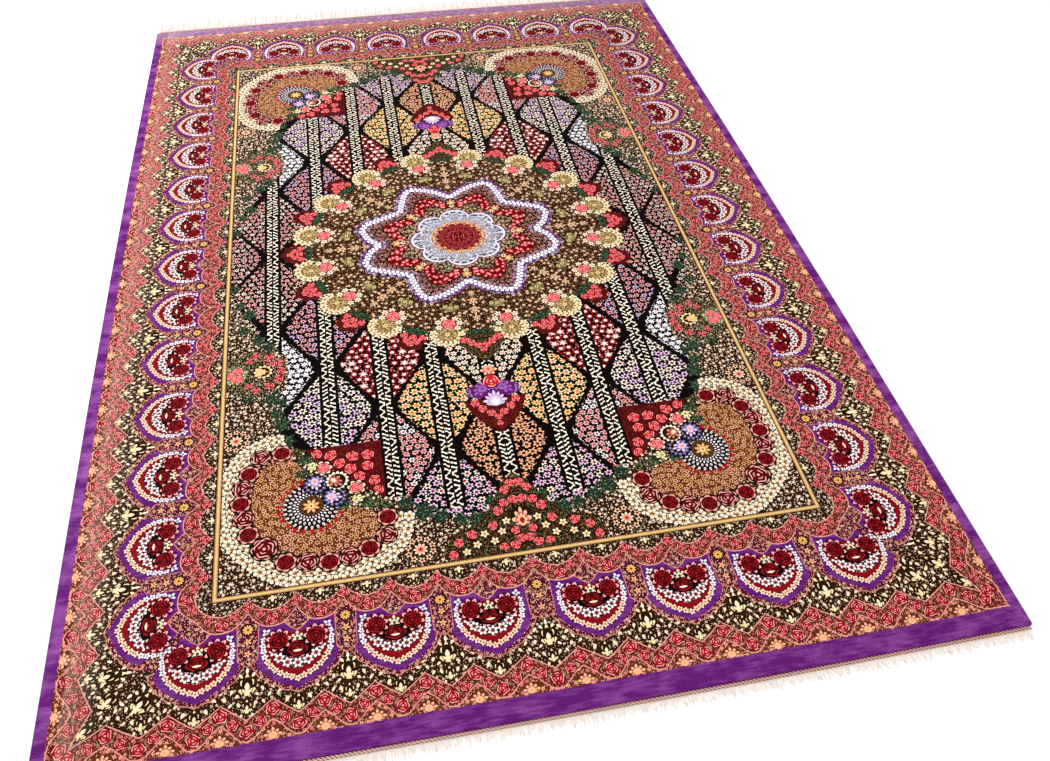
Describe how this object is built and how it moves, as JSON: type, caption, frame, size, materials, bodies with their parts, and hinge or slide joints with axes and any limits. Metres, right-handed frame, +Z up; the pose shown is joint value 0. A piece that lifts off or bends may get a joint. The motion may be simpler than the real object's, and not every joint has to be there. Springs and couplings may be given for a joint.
{
  "type": "persian rug",
  "caption": "Flat rectangular hand-knotted silk rug with a round medallion, corner roundels, arch border, violet edge band and a warp fringe at each end.",
  "frame": {"origin": "middle of the rug's underside, on the floor", "axes": "+Z up out of the pile, +Y along the rug towards its far end, +X across it"},
  "size_m": [2.02, 3.1501, 0.0045],
  "materials": {
    "silk_pile": "clipped silk pile, many colours",
    "silk_fringe": "undyed ivory silk warp"
  },
  "bodies": {
    "root": {"rug_body": "silk_pile", "fringe_near": "silk_fringe", "fringe_far": "silk_fringe"}
  },
  "joints": []
}
